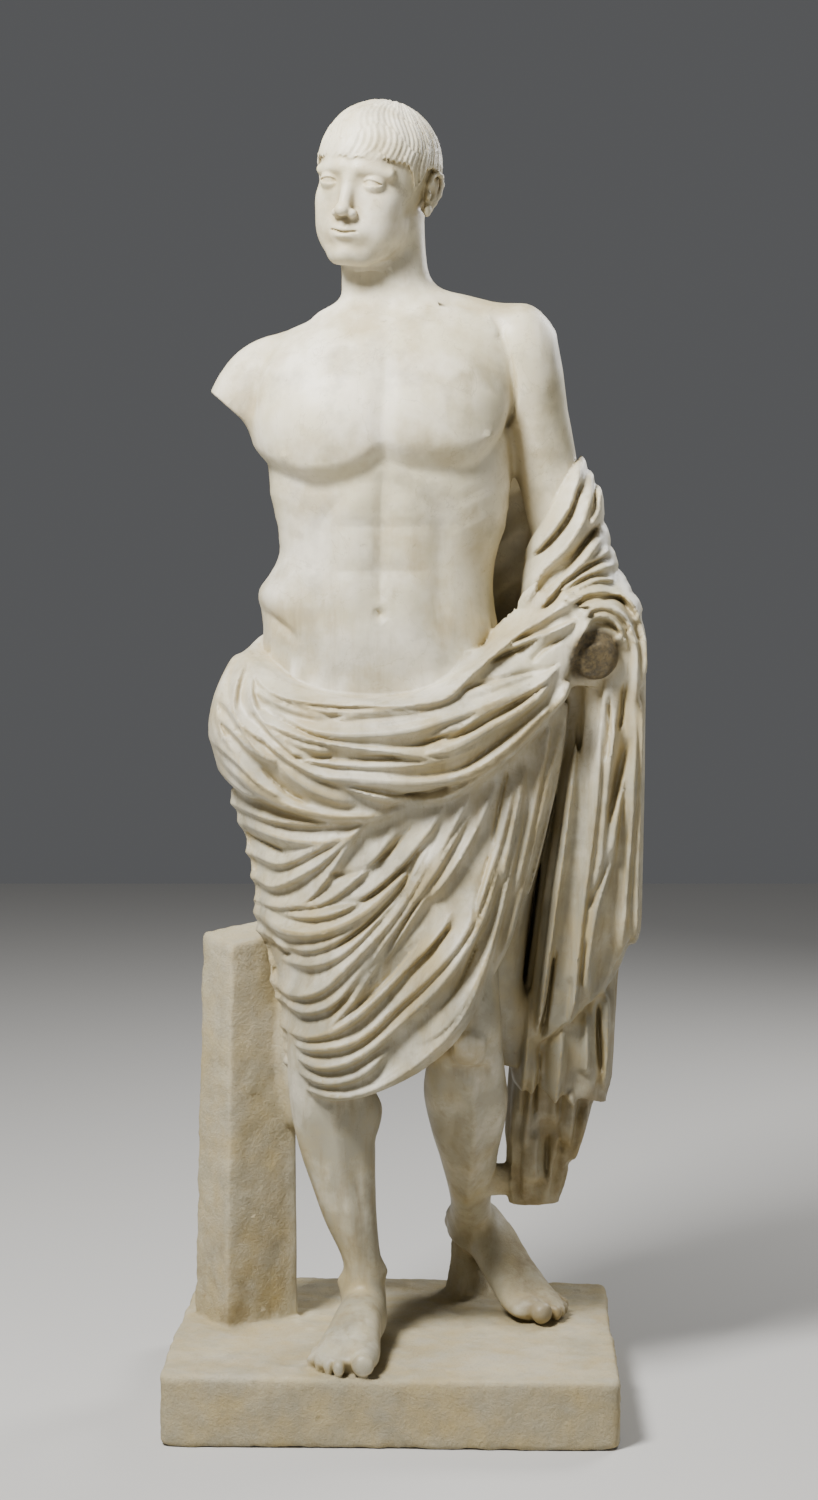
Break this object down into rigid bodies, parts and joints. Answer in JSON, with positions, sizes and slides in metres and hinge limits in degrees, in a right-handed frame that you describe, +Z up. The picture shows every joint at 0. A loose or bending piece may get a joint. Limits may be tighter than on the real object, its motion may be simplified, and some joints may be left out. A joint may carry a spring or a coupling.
{
  "type": "marble statue",
  "caption": "Standing marble youth in a hip mantle beside a square pillar on a rectangular plinth, with one arm cut at the shoulder and the other broken at the forearm, to stand on a floor.",
  "frame": {"origin": "middle of the plinth's underside", "axes": "+Z up, the figure faces -Y, +X towards the figure's own left side"},
  "size_m": [0.6997, 0.5851, 1.9261],
  "materials": {
    "marble": "aged ivory marble, worn smooth, with ochre staining in the folds and a rougher grey plinth and pillar"
  },
  "bodies": {
    "root": {"statue": "marble"}
  },
  "joints": []
}
